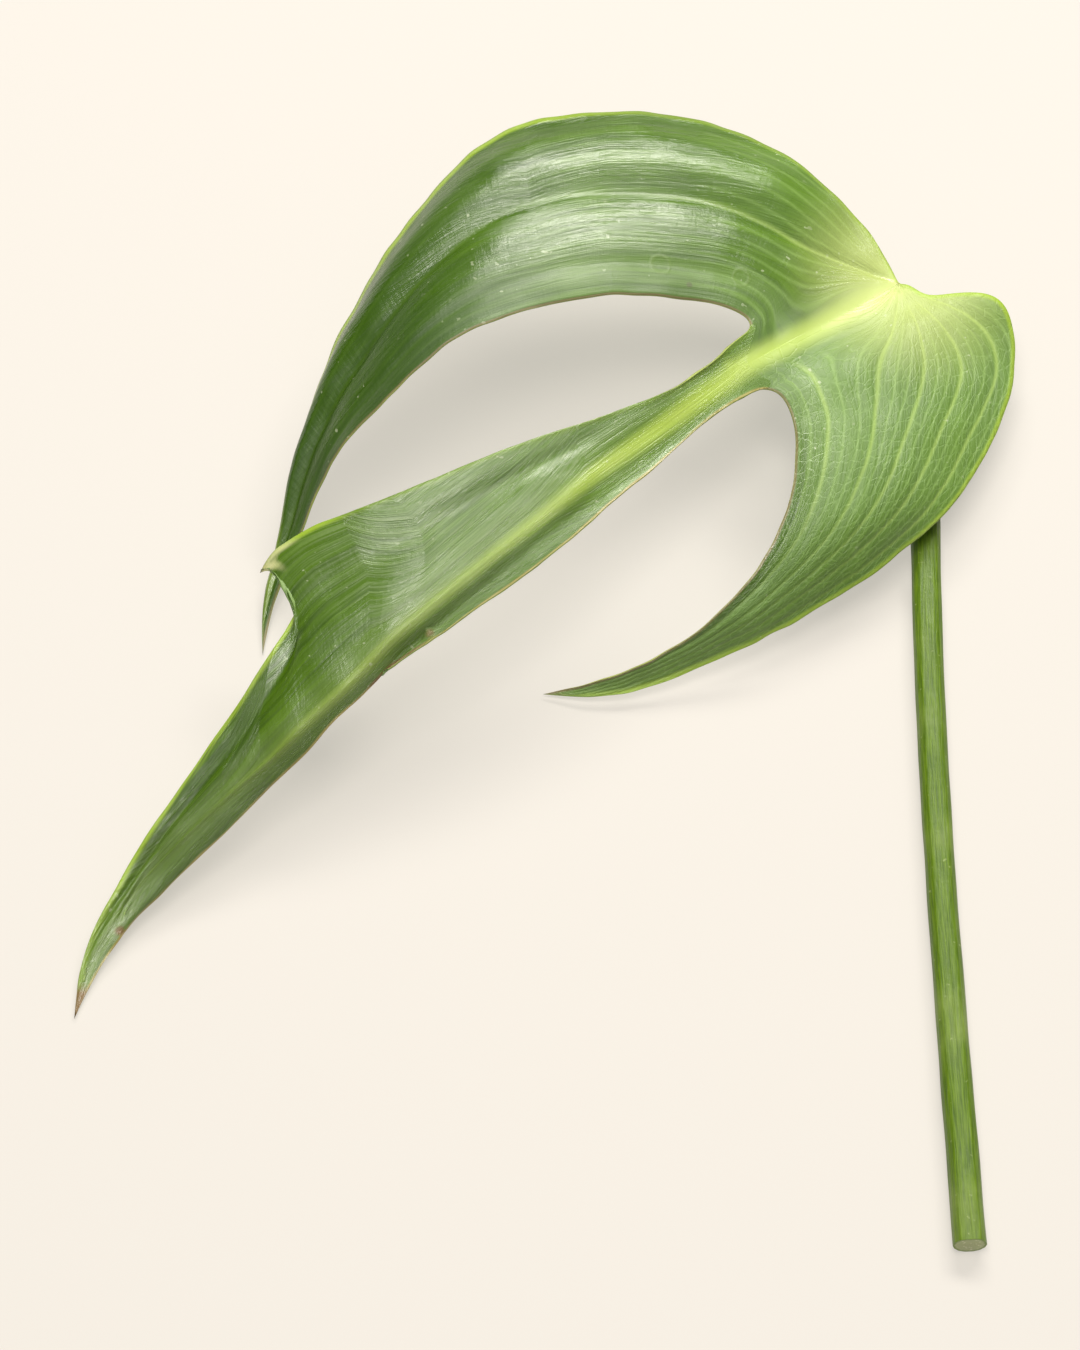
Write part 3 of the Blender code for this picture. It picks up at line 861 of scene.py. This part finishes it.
# 0 to 1 over the cut end, from its middle to its rim, and more than 1 on the skin
ON_SKIN = 2
cut = np.repeat(np.where(ring_mm == 0, np.array(ring_cap), ON_SKIN), STEM_SIDES + 1)
stem.data.attributes.new("cut_share", "FLOAT", "POINT").data.foreach_set("value", cut)
bpy.ops.object.mode_set(mode="EDIT")
bpy.ops.mesh.select_all(action="SELECT")
bpy.ops.mesh.remove_doubles(threshold=0.002 * MM)
bpy.ops.mesh.normals_make_consistent(inside=False)
bpy.ops.object.mode_set(mode="OBJECT")

flesh, wire, flesh_shader = new_material("stem_skin")
uv_map = wire.node("ShaderNodeUVMap", {"uv_map": "UVMap"}, {})
round_share = wire.node("ShaderNodeSeparateXYZ", {}, {0: uv_map}, 0)
stem_length = wire.node("ShaderNodeSeparateXYZ", {}, {0: uv_map}, 1) * 100
spot = wire.node("ShaderNodeTexCoord", {}, {}, 3)
fibre_place = wire.join(round_share * 21, stem_length * 0.05, 0.0)
fibres = wire.noise(fibre_place, 2.6, 3, 0.6)
flecks = wire.noise(spot, 700, 2, 0.5).step(0.68, 0.78)
stem_mottle = wire.noise(spot, 45, 4, 0.55)
skin = fibres.step(0.3, 0.7).colour((0.050, 0.104, 0.0, 1), (0.112, 0.196, 0.003, 1))
skin = (stem_mottle.step(0.45, 0.75) * 0.4).colour(skin, (0.27, 0.35, 0.09, 1))
skin = (flecks * 0.4).colour(skin, (0.40, 0.46, 0.20, 1))
cut_share = wire.attribute("cut_share")
# The cut end: a green rind round pale flesh dotted with the bundles that carry the sap
bundles = wire.node("ShaderNodeTexVoronoi", {"feature": "F1"}, {"Vector": spot, "Scale": 1250})
bundles = bundles.step(0.34, 0.2)
cut_face = bundles.colour((0.40, 0.45, 0.20, 1), (0.62, 0.64, 0.40, 1))
cut_face = cut_share.step(0.80, 0.95).colour(cut_face, (0.15, 0.24, 0.02, 1))
skin = cut_share.step(1.02, 1.0).colour(skin, cut_face)
wire.tree.links.new(skin.socket, flesh_shader.inputs["Base Color"])
flesh_shader.inputs["Roughness"].default_value = 0.40
flesh_shader.inputs["Specular IOR Level"].default_value = 0.35
stem_height = fibres * 0.6 + wire.noise(spot, 500, 3, 0.6) * 0.4
wire.tree.links.new(wire.bump(stem_height, 0.0002).socket, flesh_shader.inputs["Normal"])
stem.data.materials.append(flesh)
bpy.ops.object.shade_smooth_by_angle(angle=math.radians(50))
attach(stem, "root")
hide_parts("petiole")
